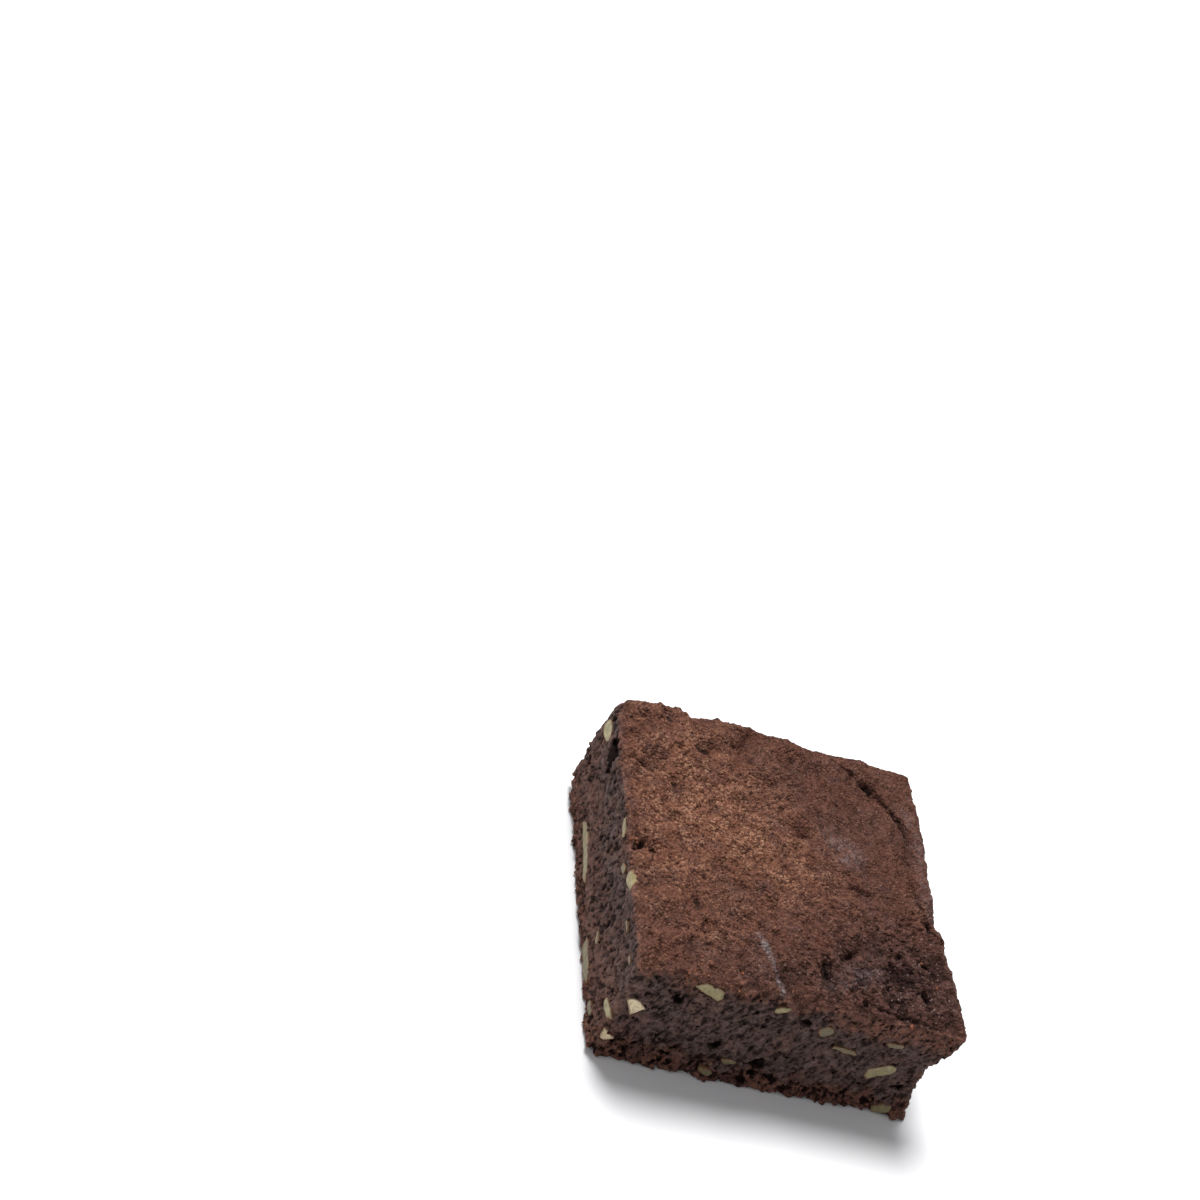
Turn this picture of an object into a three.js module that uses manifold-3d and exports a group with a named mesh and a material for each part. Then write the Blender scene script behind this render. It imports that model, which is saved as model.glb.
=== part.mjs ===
// A square of chocolate brownie with chopped walnut, cut from a tray bake.
// Units are millimetres, +Z is up, and the origin is the middle of the flat base.
// X runs along the front cut side, and Y from the front cut side to the back one.
// The crumb is one solid with a domed, dented crust, four cut sides and a flat base.
// Each walnut piece that a cut goes through is a solid of its own, seated in a pocket.
import * as THREE from "three";
import { ConvexGeometry } from "three/addons/geometries/ConvexGeometry.js";
import { mergeVertices } from "three/addons/utils/BufferGeometryUtils.js";
import Module from "manifold-3d";

// Driving dimensions of the cut square. Places on it are measured from the point on the
// base that lies MIDDLE away from the middle of its sides, and the whole is centred last.
const WIDTH = 65.0;
const DEPTH = 67.2;
const HEIGHT = 26.0;
const MIDDLE = [-0.3, 0.5];
const CENTRING = [-0.1, -0.8];
const CRUST_ROUND = 1.9;
const BASE_ROUND = 0.9;

// Mesh spacing: steps along each side, drawn closer towards the edges.
const STEPS_ACROSS = 32;
const STEPS_UP = 12;
const CLOSER_AT_EDGES = 0.75;

// How far a cut side leans and bulges.
const FOOT_FLARE = 1.0;
const FOOT_HEIGHT = 6;
const SIDE_WAVE = 0.45;
const FRONT_RIGHT_WAIST = 1.3;
const FRONT_RIGHT_SHOULDER = 1.3;
const BACK_LEFT_BELLY = 0.7;
const BACK_BULGE = 1.1;

// The raised rim of crust behind the long crack at the right.
const RIM_RISE = 0.9;
const RIM_WIDTH = 4.5;
const RIM_STEP = 0.9;

// The crack itself, as seen from above.
const CRACK_PATH = [
  [18.6, 28.6],
  [21.5, 27.0],
  [24.2, 23.6],
  [25.4, 20.8],
  [27.4, 18.6],
  [27.9, 15.8],
  [26.8, 9.0],
  [26.4, 2.0],
  [27.6, -3.4],
  [29.8, -8.0],
];
const CRACK_RADIUS = 0.8;
const CRACK_SINK = 0.35;
const CRACK_STEPS = 22;
const CRACK_SIDES = 6;

// Walnut pieces.
const POCKET_GAP = 0.3;
const NUT_POINTS = 13;
const NUT_BLOCKINESS = 0.72;
const NUT_DEPTH_SHARE = 0.9;
const NUT_LEAST_DEPTH = 1.5;
const NUT_INWARD = 0.15;
const HIDDEN_NUTS_PER_SIDE = 9;
const HIDDEN_NUT_SPACING = 8;

const CRUMB_COLOUR = 0x3b2a25;
const NUT_COLOUR = 0xb9ab7c;

const wasm = await Module();
wasm.setup();

const degrees = (angle) => (angle * Math.PI) / 180;
const clamp = THREE.MathUtils.clamp;
const smoothstep = THREE.MathUtils.smoothstep;

// A repeatable draw of numbers from 0 to 1.
function seededRandom(seed) {
  let state = seed >>> 0;
  return () => {
    state = (state + 0x6d2b79f5) >>> 0;
    let mixed = Math.imul(state ^ (state >>> 15), 1 | state);
    mixed = (mixed + Math.imul(mixed ^ (mixed >>> 7), 61 | mixed)) ^ mixed;
    return ((mixed ^ (mixed >>> 14)) >>> 0) / 4294967296;
  };
}

// Swellings and dips of the crust: place, half sizes along and across, turn in degrees, and height.
const CRUST_FORMS = [
  // The whole crust domes a little, most of all towards the back left.
  { x: -10, y: 8, along: 30, across: 24, turn: 0, height: 0.9 },
  { x: -26, y: 29, along: 10, across: 9, turn: 10, height: 2.1 },
  { x: 2, y: 34, along: 13, across: 5, turn: 0, height: 0.8 },
  { x: -16.0, y: 34, along: 2.6, across: 2.6, turn: 0, height: -0.9 },
  // A lens-shaped blister at the back edge, with the valley beside it.
  { x: -9.6, y: 30.4, along: 4.6, across: 3.0, turn: 35, height: 1.1 },
  { x: -5.4, y: 29.4, along: 3.4, across: 1.3, turn: 62, height: -1.3 },
  { x: -15.4, y: 29.6, along: 2.2, across: 1.5, turn: 70, height: -0.8 },
  // The hollow and crest at the back left.
  { x: -25.0, y: 18.6, along: 4.4, across: 2.0, turn: 28, height: -1.2 },
  { x: -20.2, y: 21.6, along: 3.8, across: 1.4, turn: 50, height: 0.9 },
  // A pimple with a hollow beside it.
  { x: -4.4, y: 21.8, along: 2.0, across: 1.3, turn: 65, height: 0.9 },
  { x: -2.2, y: 20.6, along: 1.6, across: 1.2, turn: 0, height: -0.7 },
  // Broad hollows inside the rim.
  { x: 9.0, y: 25.4, along: 4.4, across: 2.6, turn: -10, height: -0.8 },
  { x: 22.0, y: 24.2, along: 5.2, across: 2.8, turn: -48, height: -1.0 },
  { x: 15.5, y: 14.5, along: 6.0, across: 4.2, turn: 10, height: -0.6 },
  { x: 4.8, y: 8.6, along: 2.4, across: 1.8, turn: 40, height: -0.8 },
  { x: 1.6, y: 4.6, along: 2.2, across: 1.5, turn: 20, height: 0.6 },
  { x: -8.0, y: 12.0, along: 6.0, across: 1.8, turn: 4, height: -0.6 },
  // The long fold across the middle.
  { x: -13.5, y: -8.8, along: 7.0, across: 1.6, turn: 10, height: -0.9 },
  { x: -7.0, y: -7.4, along: 5.0, across: 1.5, turn: 14, height: 0.7 },
  { x: 10.5, y: -4.6, along: 5.6, across: 1.5, turn: 8, height: -0.8 },
  // Lumps and deep dips at the front right.
  { x: -8.0, y: -17.6, along: 4.6, across: 1.6, turn: 24, height: 0.6 },
  { x: 2.0, y: -20.4, along: 4.2, across: 2.6, turn: 30, height: 0.6 },
  { x: 6.2, y: -24.6, along: 3.8, across: 1.9, turn: 44, height: -1.7 },
  { x: 11.6, y: -18.6, along: 3.6, across: 1.7, turn: 48, height: -1.2 },
  { x: 13.6, y: -26.0, along: 4.6, across: 2.6, turn: 24, height: 0.8 },
  { x: 19.6, y: -16.8, along: 4.0, across: 2.0, turn: 12, height: 0.9 },
  { x: 24.2, y: -22.4, along: 3.0, across: 2.2, turn: -20, height: 0.9 },
  { x: 19.0, y: -23.2, along: 3.2, across: 1.5, turn: 66, height: -1.1 },
  { x: 27.4, y: -14.6, along: 3.0, across: 2.0, turn: 40, height: 0.7 },
  // The crust's front edge rises and dips.
  { x: -22.5, y: -33, along: 4.5, across: 3.4, turn: 0, height: 1.0 },
  { x: -12.8, y: -34, along: 3.0, across: 3.4, turn: 0, height: -1.6 },
  { x: -0.6, y: -34, along: 2.2, across: 3.0, turn: 0, height: -1.9 },
  // The nick at the middle of the right edge.
  { x: 31.4, y: -5.8, along: 3.2, across: 2.8, turn: 20, height: -1.9 },
  // The broken spot at the left edge, over the walnut there.
  { x: -31.0, y: -4.0, along: 2.4, across: 1.6, turn: -20, height: -1.5 },
];

// Slow waves that keep any face from being flat: wavelength, heading in degrees, phase, share.
const WAVES = [
  { length: 34, heading: 20, phase: 0.7, share: 0.34 },
  { length: 23, heading: 118, phase: 2.1, share: 0.27 },
  { length: 15, heading: 64, phase: 4.0, share: 0.22 },
  { length: 10.5, heading: 161, phase: 5.2, share: 0.17 },
];

function wave(u, v, shift) {
  let sum = 0;
  for (const { length, heading, phase, share } of WAVES) {
    const ahead = u * Math.cos(degrees(heading)) + v * Math.sin(degrees(heading));
    sum += share * Math.sin((2 * Math.PI * ahead) / length + phase * shift);
  }
  return sum;
}

// The crack as a smooth curve seen from above, at z = 0.
const crackCurve = new THREE.CatmullRomCurve3(
  CRACK_PATH.map(([x, y]) => new THREE.Vector3(x, y, 0)),
);
const crackPoints = crackCurve.getSpacedPoints(CRACK_STEPS);

// How far a place on the crust lies outside the crack, or inside it if negative.
function outsideCrack(x, y) {
  let nearest = Infinity;
  let signed = 0;
  for (let i = 1; i < crackPoints.length; i++) {
    const from = crackPoints[i - 1];
    const run = crackPoints[i].clone().sub(from);
    const off = new THREE.Vector3(x, y, 0).sub(from);
    const share = clamp(off.dot(run) / run.lengthSq(), 0, 1);
    const side = run.x * off.y - run.y * off.x;
    const distance = off.addScaledVector(run, -share).length();
    if (distance < nearest) {
      nearest = distance;
      signed = Math.sign(side) * distance;
    }
  }
  return signed;
}

// The rim rises in a step just outside the crack and falls away towards the edge.
function rimRise(x, y) {
  const outside = outsideCrack(x, y);
  const step = smoothstep(outside, -RIM_STEP, RIM_STEP);
  return RIM_RISE * step * Math.exp(-((Math.max(outside, 0) / RIM_WIDTH) ** 2));
}

// Height of the crust above or below its mean level.
function crustRelief(x, y) {
  let height = rimRise(x, y) + 0.4 * wave(x, y, 1);
  for (const form of CRUST_FORMS) {
    const turn = degrees(form.turn);
    const u = (x - form.x) * Math.cos(turn) + (y - form.y) * Math.sin(turn);
    const v = (y - form.y) * Math.cos(turn) - (x - form.x) * Math.sin(turn);
    const away = (u / form.along) ** 2 + (v / form.across) ** 2;
    height += form.height * Math.exp(-away);
  }
  return height;
}

// Moves a point of the plain rounded block to its place on the uneven square.
function uneven({ x, y, z }) {
  const rightward = clamp((x - MIDDLE[0]) / (WIDTH / 2), -1, 1);
  const backward = clamp((y - MIDDLE[1]) / (DEPTH / 2), -1, 1);
  const crustward = smoothstep(z, 0.3 * HEIGHT, HEIGHT);
  const foot = FOOT_FLARE * smoothstep(FOOT_HEIGHT - z, 0, FOOT_HEIGHT);
  const footWave = foot * (0.7 + 0.6 * wave(2 * x, 9, 4));
  const moved = new THREE.Vector3(x, y, z);
  moved.x += rightward * SIDE_WAVE * wave(y, z, 2);
  moved.y += backward * (SIDE_WAVE * wave(x, z, 3) + footWave);
  // The front right edge draws in halfway up, under a shoulder of crust.
  const halfway = Math.sin(Math.PI * clamp(z / HEIGHT, 0, 1)) ** 2;
  const frontRight = smoothstep(rightward - backward, 0.9, 2);
  const waist = FRONT_RIGHT_WAIST * halfway * frontRight;
  const shoulder =
    FRONT_RIGHT_SHOULDER *
    smoothstep(-backward, 0.2, 0.9) *
    smoothstep(z, 0.5 * HEIGHT, 0.85 * HEIGHT);
  moved.x += Math.max(rightward, 0) * shoulder - waist;
  moved.y += 0.5 * waist;
  // The back left edge swells instead.
  const backLeft = smoothstep(backward - rightward, 0.9, 2);
  moved.y += BACK_LEFT_BELLY * halfway * backLeft * Math.max(backward, 0);
  // The back side bows out left of the middle and draws in at the right.
  const bow = BACK_BULGE * Math.exp(-(((x + 10) / 26) ** 2)) - 0.5;
  moved.y += Math.max(backward, 0) * bow;
  moved.z += crustward * crustRelief(x, y);
  return moved;
}

// Draws the block's lattice closer towards its edges; share runs from -1 to 1.
function drawn(share) {
  const bend = (CLOSER_AT_EDGES * Math.PI) / 2;
  return Math.sin(share * bend) / Math.sin(bend);
}

// The block: a box lattice, rounded at its edges, then made uneven. Its base stays flat.
function blockGeometry() {
  const box = new THREE.BoxGeometry(
    2,
    2,
    2,
    STEPS_ACROSS,
    STEPS_ACROSS,
    STEPS_UP,
  );
  const half = new THREE.Vector3(WIDTH / 2, DEPTH / 2, HEIGHT / 2);
  const position = box.attributes.position;
  const point = new THREE.Vector3();
  for (let i = 0; i < position.count; i++) {
    point.fromBufferAttribute(position, i);
    point.set(drawn(point.x), drawn(point.y), drawn(point.z)).multiply(half);
    const upward = point.z / HEIGHT + 0.5;
    const round = THREE.MathUtils.lerp(BASE_ROUND, CRUST_ROUND, upward);
    const inner = half.clone().subScalar(round);
    const core = point.clone().clamp(inner.clone().negate(), inner);
    const outward = point.clone().sub(core).normalize();
    point.copy(core).addScaledVector(outward, round);
    point.add(new THREE.Vector3(...MIDDLE, half.z));
    const moved = uneven(point);
    position.setXYZ(i, moved.x, moved.y, Math.max(moved.z, 0));
  }
  return box;
}

// A closed mesh with its shared vertices merged, as a solid for joining and cutting.
function solidFrom(geometry) {
  const plain = geometry.clone();
  plain.deleteAttribute("normal");
  plain.deleteAttribute("uv");
  const merged = mergeVertices(plain, 1e-4);
  return new wasm.Manifold(
    new wasm.Mesh({
      numProp: 3,
      vertProperties: new Float32Array(merged.attributes.position.array),
      triVerts: new Uint32Array(merged.index.array),
    }),
  );
}

// A solid as a geometry with flat-shaded faces.
function geometryFrom(solid) {
  const { vertProperties, triVerts } = solid.getMesh();
  const geometry = new THREE.BufferGeometry();
  const position = new THREE.BufferAttribute(vertProperties, 3);
  geometry.setAttribute("position", position);
  geometry.setIndex(new THREE.BufferAttribute(triVerts, 1));
  const flat = geometry.toNonIndexed();
  flat.computeVertexNormals();
  return flat;
}

// An egg-shaped hollow to cut away: half sizes along X, Y and Z.
function hollow({ at, size, detail = 1 }) {
  const egg = new THREE.IcosahedronGeometry(1, detail);
  egg.scale(...size);
  egg.translate(...at);
  return solidFrom(egg);
}

const HOLLOWS = [
  // The baked-in air bubble under the crust, open at the left side.
  { at: [-33.0, 22.0, 21.7], size: [4.2, 2.0, 3.3], detail: 2 },
  { at: [-33.6, 30.4, 23.8], size: [2.0, 1.2, 1.2] },
  // Pits in the crumb of the left side.
  { at: [-33.4, -6.0, 16.6], size: [1.4, 1.3, 1.0] },
  // Holes in the crumb of the front side.
  { at: [-1.3, -33.0, 6.9], size: [1.8, 2.2, 1.5] },
  { at: [-0.9, -33.6, 3.6], size: [1.2, 1.8, 1.3] },
  { at: [-10.8, -33.0, 9.2], size: [1.5, 1.6, 0.9] },
  { at: [-22.4, -33.2, 19.0], size: [0.9, 1.5, 1.2] },
  // The broken edge at the front right, with its overhanging lip.
  { at: [33.2, -33.6, 11.2], size: [2.6, 3.6, 2.4] },
  // Where the base has crumbled away at the front left and back left corners.
  { at: [-34.6, -35.2, 0.8], size: [4.4, 3.6, 3.4] },
  { at: [-34.6, 35.6, 0.6], size: [6.0, 6.4, 2.6] },
];

function crackSolid() {
  const section = new THREE.Shape();
  for (let i = 0; i < CRACK_SIDES; i++) {
    const angle = (2 * Math.PI * i) / CRACK_SIDES;
    const across = CRACK_RADIUS * Math.cos(angle);
    const down = CRACK_RADIUS * Math.sin(angle);
    if (i === 0) section.moveTo(across, down);
    else section.lineTo(across, down);
  }
  section.closePath();
  const onCrust = crackPoints.map(
    ({ x, y }) =>
      new THREE.Vector3(x, y, HEIGHT + crustRelief(x, y) - CRACK_SINK),
  );
  return solidFrom(
    new THREE.ExtrudeGeometry(section, {
      steps: CRACK_STEPS,
      extrudePath: new THREE.CatmullRomCurve3(onCrust),
    }),
  );
}

// The four cut sides: a point on each, the direction along it and the way out of it.
const SIDES = {
  front: { along: [1, 0, 0], out: [0, -1, 0], reach: DEPTH / 2, run: WIDTH },
  left: { along: [0, -1, 0], out: [-1, 0, 0], reach: WIDTH / 2, run: DEPTH },
  right: { along: [0, 1, 0], out: [1, 0, 0], reach: WIDTH / 2, run: DEPTH },
  back: { along: [-1, 0, 0], out: [0, 1, 0], reach: DEPTH / 2, run: WIDTH },
};

// Walnut pieces that show: place along the side, height, length, thickness, tilt in degrees.
const SHOWN_NUTS = {
  front: [
    { along: -18.0, up: 23.4, length: 7.2, thick: 3.3, tilt: -24 },
    { along: -3.8, up: 22.6, length: 4.2, thick: 2.2, tilt: 42 },
    { along: 6.7, up: 19.0, length: 3.1, thick: 2.5, tilt: 10 },
    { along: 12.6, up: 15.0, length: 5.8, thick: 1.6, tilt: -6 },
    { along: 20.8, up: 19.4, length: 3.6, thick: 1.4, tilt: 4 },
    { along: 22.0, up: 11.2, length: 6.2, thick: 3.3, tilt: 24 },
    { along: 27.2, up: 1.9, length: 4.0, thick: 2.6, tilt: 18 },
    { along: -29.4, up: 14.8, length: 5.6, thick: 3.6, tilt: -44 },
    { along: -31.0, up: 5.8, length: 4.4, thick: 2.8, tilt: -40 },
    { along: -6.8, up: 5.8, length: 3.2, thick: 1.8, tilt: 6 },
    { along: -9.8, up: 2.2, length: 3.2, thick: 2.2, tilt: 0 },
  ],
  left: [
    { along: -11.3, up: 5.7, length: 17, thick: 2.3, tilt: -5 },
    { along: -1.5, up: 23.6, length: 4.2, thick: 2.3, tilt: -18 },
    { along: 12.3, up: 24.4, length: 5.2, thick: 2.2, tilt: 4 },
    { along: 7.4, up: 21.9, length: 3.2, thick: 1.8, tilt: 10 },
    { along: 20.0, up: 20.9, length: 3.4, thick: 1.5, tilt: 0 },
    { along: 27.6, up: 20.6, length: 2.8, thick: 1.4, tilt: 10 },
    { along: 13.3, up: 8.8, length: 3.0, thick: 1.8, tilt: -20 },
    { along: 13.6, up: 2.5, length: 9.8, thick: 3.0, tilt: -8 },
    { along: 30.4, up: 10.2, length: 5.0, thick: 1.9, tilt: 2 },
    { along: 25.2, up: 2.9, length: 4.2, thick: 1.8, tilt: 0 },
    { along: -29.8, up: 20.6, length: 6.2, thick: 2.4, tilt: 2 },
  ],
};

// Walnut pieces of a side that can't be seen, drawn at random but never close together.
function hiddenNuts(run, seed) {
  const random = seededRandom(seed);
  const nuts = [];
  while (nuts.length < HIDDEN_NUTS_PER_SIDE) {
    const along = (random() - 0.5) * (run - 9);
    const up = 3 + random() * (HEIGHT - 6);
    const clear = nuts.every(
      (nut) => Math.hypot(nut.along - along, nut.up - up) > HIDDEN_NUT_SPACING,
    );
    const length = 3.2 + 4.2 * random() ** 1.6;
    const thick = 1.6 + 1.8 * random();
    const tilt = -45 + 90 * random();
    if (clear) nuts.push({ along, up, length, thick, tilt });
  }
  return nuts;
}

// A chopped piece: the hull of points spread over a blocky egg, some drawn in as if broken off.
function chunkGeometry(halfLength, halfThick, halfDepth, random, grown) {
  const points = [];
  for (let i = 0; i < NUT_POINTS; i++) {
    const level = 1 - (2 * i + 1) / NUT_POINTS;
    const ring = Math.sqrt(1 - level * level);
    const angle = i * Math.PI * (3 - Math.sqrt(5)) + 0.7 * random();
    const spot = [ring * Math.cos(angle), ring * Math.sin(angle), level];
    const squared = spot.map(
      (value) => Math.sign(value) * Math.abs(value) ** NUT_BLOCKINESS,
    );
    const drawnIn = 0.78 + 0.3 * random();
    points.push(
      new THREE.Vector3(
        squared[0] * (halfLength * drawnIn + grown),
        squared[1] * (halfDepth * drawnIn + grown),
        squared[2] * (halfThick * drawnIn + grown),
      ),
    );
  }
  return new ConvexGeometry(points);
}

// The piece in its place on a side, grown by the pocket's gap where that is asked for.
function placedChunk(side, nut, seed, grown) {
  const { length, thick, tilt, along, up } = nut;
  const halfDepth = NUT_LEAST_DEPTH + (NUT_DEPTH_SHARE * thick) / 2;
  const chunk = chunkGeometry(
    length / 2,
    thick / 2,
    halfDepth,
    seededRandom(seed),
    grown,
  );
  const alongAxis = new THREE.Vector3(...side.along);
  const outAxis = new THREE.Vector3(...side.out);
  const upAxis = new THREE.Vector3(0, 0, 1);
  const middle = new THREE.Vector3(...MIDDLE, 0);
  const inward = NUT_INWARD * halfDepth;
  const place = new THREE.Matrix4()
    .makeBasis(alongAxis, outAxis.clone().negate(), upAxis)
    .setPosition(
      alongAxis
        .clone()
        .multiplyScalar(along)
        .addScaledVector(outAxis, side.reach + outAxis.dot(middle) - inward)
        .addScaledVector(upAxis, up),
    );
  chunk.applyMatrix4(new THREE.Matrix4().makeRotationY(-degrees(tilt)));
  chunk.applyMatrix4(place);
  return solidFrom(chunk);
}

function buildBrownie() {
  const block = solidFrom(blockGeometry());
  let crumb = block;
  for (const form of HOLLOWS) crumb = crumb.subtract(hollow(form));
  crumb = crumb.subtract(crackSolid());

  const nutMaterial = new THREE.MeshStandardMaterial({
    color: NUT_COLOUR,
    roughness: 0.6,
    metalness: 0,
  });
  const nuts = new THREE.Group();
  const nutsOf = {
    ...SHOWN_NUTS,
    right: hiddenNuts(SIDES.right.run, 41),
    back: hiddenNuts(SIDES.back.run, 67),
  };
  let seed = 1000;
  for (const [sideName, list] of Object.entries(nutsOf)) {
    const side = SIDES[sideName];
    list.forEach((nut, index) => {
      seed += 1;
      const piece = placedChunk(side, nut, seed, 0).intersect(block);
      crumb = crumb.subtract(placedChunk(side, nut, seed, POCKET_GAP));
      const mesh = new THREE.Mesh(geometryFrom(piece), nutMaterial);
      mesh.name = `nut_${sideName}_${String(index + 1).padStart(2, "0")}`;
      nuts.add(mesh);
    });
  }

  const crumbMesh = new THREE.Mesh(
    geometryFrom(crumb),
    new THREE.MeshStandardMaterial({
      color: CRUMB_COLOUR,
      roughness: 0.9,
      metalness: 0,
    }),
  );
  crumbMesh.name = "crumb";
  const brownie = new THREE.Group();
  brownie.add(crumbMesh, nuts);
  brownie.position.set(...CENTRING, 0);
  return brownie;
}

export default buildBrownie();
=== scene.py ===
"""A square of chocolate brownie with chopped walnut, dressed for its picture.

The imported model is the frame. Shapes here are worked out in millimetres, in the square's
own places: x runs along the front cut side, y from front to back and z up from the base.
Each shape is a field of distances on a grid, negative inside, turned into a mesh.
"""

import math

import bmesh
import bpy
import numpy as np
import openvdb
from mathutils import Matrix, Vector


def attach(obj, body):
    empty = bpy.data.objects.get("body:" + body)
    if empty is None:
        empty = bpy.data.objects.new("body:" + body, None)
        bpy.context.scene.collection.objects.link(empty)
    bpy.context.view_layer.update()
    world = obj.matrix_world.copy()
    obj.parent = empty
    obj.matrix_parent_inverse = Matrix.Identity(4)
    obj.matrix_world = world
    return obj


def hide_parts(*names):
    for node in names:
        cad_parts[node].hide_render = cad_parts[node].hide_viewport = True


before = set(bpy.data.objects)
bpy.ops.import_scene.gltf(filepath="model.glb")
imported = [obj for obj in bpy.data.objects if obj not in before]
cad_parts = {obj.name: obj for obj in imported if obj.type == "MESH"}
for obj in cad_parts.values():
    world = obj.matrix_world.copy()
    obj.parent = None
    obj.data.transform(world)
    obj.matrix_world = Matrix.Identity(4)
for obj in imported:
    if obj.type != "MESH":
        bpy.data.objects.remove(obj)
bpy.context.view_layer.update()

# The square's middle in its own places, and the step from these to the frame's origin.
MIDDLE = (-0.3, 0.5)
CENTRING = (-0.1, -0.8, 0.0)

# Driving dimensions of the cut square, close to those of its solid.
WIDTH = 65.0
DEPTH = 67.2
HEIGHT = 26.0
CRUST_ROUND = 1.9
BASE_ROUND = 0.9
FOOT_FLARE = 1.0
FOOT_HEIGHT = 6.0
SIDE_WAVE = 0.45
FRONT_RIGHT_WAIST = 1.3
FRONT_RIGHT_SHOULDER = 1.3
BACK_LEFT_BELLY = 0.7
BACK_BULGE = 1.1
BACK_RIGHT_BULGE = 0.7
RIM_RISE = 1.0
RIM_WIDTH = 4.5
RIM_STEP = 0.6

# The crust is a shell with a flat inner face deep inside, which doesn't show. Where pieces
# meet at the surface, one laps under the other, a little lower.
CRUST_THICKNESS = 1.4
INNER_FACE = 21.0
LAYER_GAP = 0.05
LAP = 0.35
LAP_SINK = 0.07
LAP_DEPTH = 1.2

# The slant of the tears in the crumb, "/" as seen at the front and the left side.
GRAIN = (0.3, -0.3, 0.9)

# The grid that the body's fields are drawn on.
VOXEL = 0.25
GRID_SHAPE = (288, 300, 128)
GRID_CORNER = (-35.9, -36.9, -1.8)
BODY_SEED = 11

# How a field's surface becomes a mesh: how much flat stretches are simplified, the most
# triangles of a piece and the angle in radians past which an edge stays sharp.
SIMPLIFYING = 0.01
MOST_TRIANGLES = 195000
SHARP_ANGLE = 1.25

# Torn pores in the cut sides: how many, and their least and greatest half width.
PORE_COUNT = 1500
PORE_LEAST = 0.2
PORE_MOST = 0.66

# The walnut pieces' grid, how soft their edges are and how much they swell past their planes.
NUT_VOXEL = 0.17
NUT_SOFTNESS = 0.06
NUT_SWELL = 0.05
NUT_SEED = 5
NUT_TONE_SEED = 7

# Loose crumbs that cling to the torn places: how many, and their least and greatest size.
CRUMB_COUNT = 1300
CRUMB_LEAST = 0.14
CRUMB_MOST = 0.44
CRUMB_SEED = 23

METRES = 0.001


def smoothstep(value, low, high):
    """0 below low, 1 above high and smooth between; low may be the larger one."""
    share = np.clip((value - low) / (high - low), 0, 1)
    return share * share * (3 - 2 * share)


# Slow waves that keep any face from being flat: wavelength, heading in degrees, phase, share.
WAVES = [
    (34, 20, 0.7, 0.34),
    (23, 118, 2.1, 0.27),
    (15, 64, 4.0, 0.22),
    (10.5, 161, 5.2, 0.17),
]


def wave(u, v, shift):
    total = 0
    for length, heading, phase, share in WAVES:
        angle = math.radians(heading)
        ahead = u * math.cos(angle) + v * math.sin(angle)
        total = total + share * np.sin(2 * math.pi * ahead / length + phase * shift)
    return total


# Swellings and dips of the crust: x, y, half sizes along and across, turn in degrees, height.
CRUST_FORMS = [
    # The whole crust domes a little, most of all towards the back left.
    (-10, 8, 30, 24, 0, 0.9),
    (-26, 29, 10, 9, 10, 2.1),
    (2, 34, 13, 5, 0, 0.8),
    (-16.0, 34, 2.6, 2.6, 0, -0.9),
    # A lens-shaped blister at the back edge, with the valley beside it.
    (-9.6, 30.4, 4.6, 3.0, 35, 1.3),
    (-5.4, 29.4, 3.4, 1.4, 62, -1.8),
    (-15.4, 29.6, 2.2, 1.5, 70, -0.6),
    # The hollow and crest at the back left.
    (-25.0, 18.6, 4.4, 2.0, 28, -1.2),
    (-20.2, 21.6, 3.8, 1.4, 50, 1.4),
    # A pimple with a hollow beside it.
    (-4.4, 21.8, 1.9, 1.3, 65, 1.4),
    (-2.2, 20.6, 1.6, 1.2, 0, -1.0),
    # Broad hollows inside the rim.
    (9.0, 25.4, 4.4, 2.6, -10, -0.8),
    (22.0, 24.2, 5.2, 2.8, -48, -1.0),
    (15.5, 14.5, 6.0, 4.2, 10, -0.6),
    (4.8, 8.6, 2.4, 1.8, 40, -0.8),
    (1.6, 4.6, 2.2, 1.5, 20, 0.6),
    (-8.0, 12.0, 6.0, 1.8, 4, -0.6),
    # The long fold across the middle.
    (-13.5, -8.8, 7.0, 1.6, 10, -0.9),
    (-7.0, -7.4, 5.0, 1.5, 14, 0.7),
    (10.5, -4.6, 5.6, 1.5, 8, -0.8),
    # Lumps and deep dips at the front right.
    (-8.0, -17.6, 4.6, 1.6, 24, 0.6),
    (2.0, -20.4, 4.2, 2.6, 30, 0.6),
    (6.2, -24.6, 3.8, 1.9, 44, -1.7),
    (11.6, -18.6, 3.6, 1.7, 48, -1.2),
    (13.6, -26.0, 4.6, 2.6, 24, 0.8),
    (19.6, -16.8, 4.0, 2.0, 12, 0.9),
    (24.2, -22.4, 3.0, 2.2, -20, 0.9),
    (19.0, -23.2, 3.2, 1.5, 66, -1.1),
    (27.4, -14.6, 3.0, 2.0, 40, 0.7),
    # The crust's front edge rises and dips.
    (-22.5, -33, 4.5, 3.4, 0, 1.0),
    (-12.8, -34, 3.0, 3.4, 0, -1.6),
    (-0.6, -34, 2.2, 3.0, 0, -1.9),
    # The nick at the middle of the right edge.
    (31.4, -5.8, 3.2, 2.8, 20, -1.9),
    # The broken spot at the left edge, over the walnut there.
    (-31.0, -4.0, 2.4, 1.6, -20, -1.5),
]

# The long crack beside the raised rim.
CRACK_WIDTH = 0.27
CRACK_PATH = [(18.6, 28.6), (21.5, 27.0), (24.2, 23.6), (25.4, 20.8), (27.4, 18.6)]
CRACK_PATH += [(27.9, 15.8), (26.8, 9.0), (26.4, 2.0), (27.6, -3.4), (29.8, -8.0)]

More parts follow.
